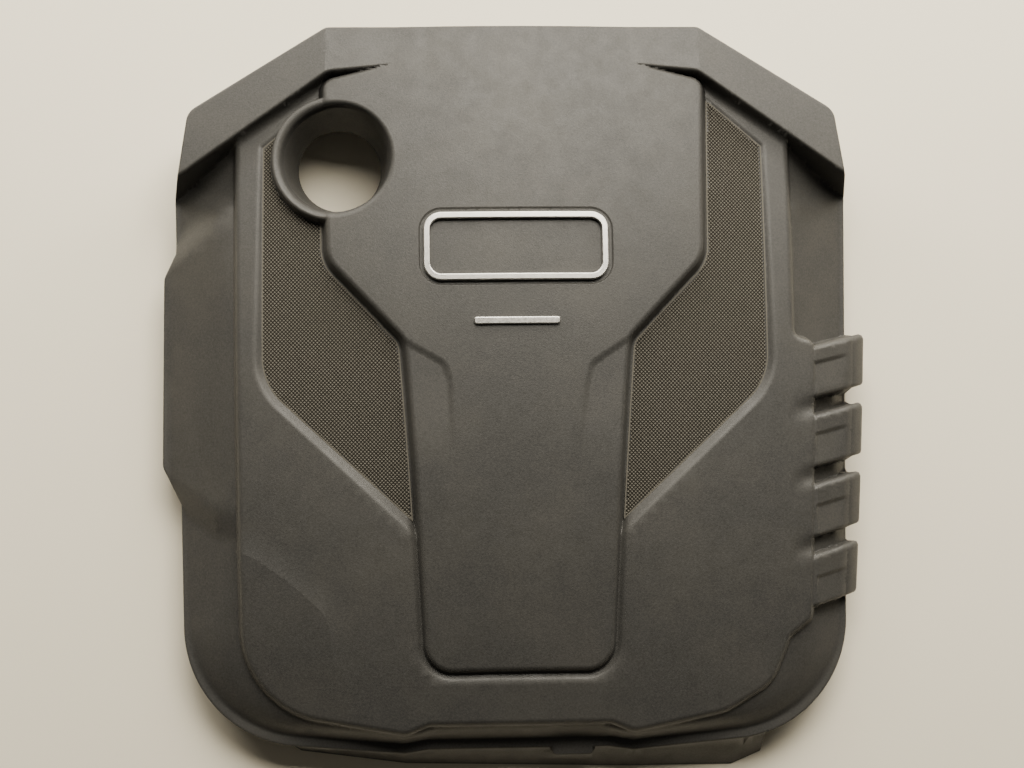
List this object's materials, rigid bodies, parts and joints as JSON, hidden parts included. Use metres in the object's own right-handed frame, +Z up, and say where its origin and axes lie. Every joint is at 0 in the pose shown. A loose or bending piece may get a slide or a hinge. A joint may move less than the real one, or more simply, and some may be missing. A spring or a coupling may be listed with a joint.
{
  "type": "engine cover",
  "caption": "Moulded plastic engine cover with a stepped plateau, textured side panels, cooling fins, an oil filler funnel and rubber ball-stud mounts.",
  "frame": {"origin": "centre of the bounding box in plan, at the rim's foot", "axes": "+Z up out of the show face, +Y to the rear brow, +X to the side with the fins"},
  "size_m": [0.486, 0.508, 0.0921],
  "materials": {
    "shell": "fine moulded grain",
    "mount": "matt",
    "foam": "open-cell foam",
    "trim": "satin"
  },
  "bodies": {
    "root": {"cover_shell": "shell", "mount_front_left": "mount", "mount_front_right": "mount", "mount_rear_left": "mount", "mount_rear_right": "mount", "acoustic_foam": "foam", "trim_frame": "trim", "trim_bar": "trim"}
  },
  "joints": []
}
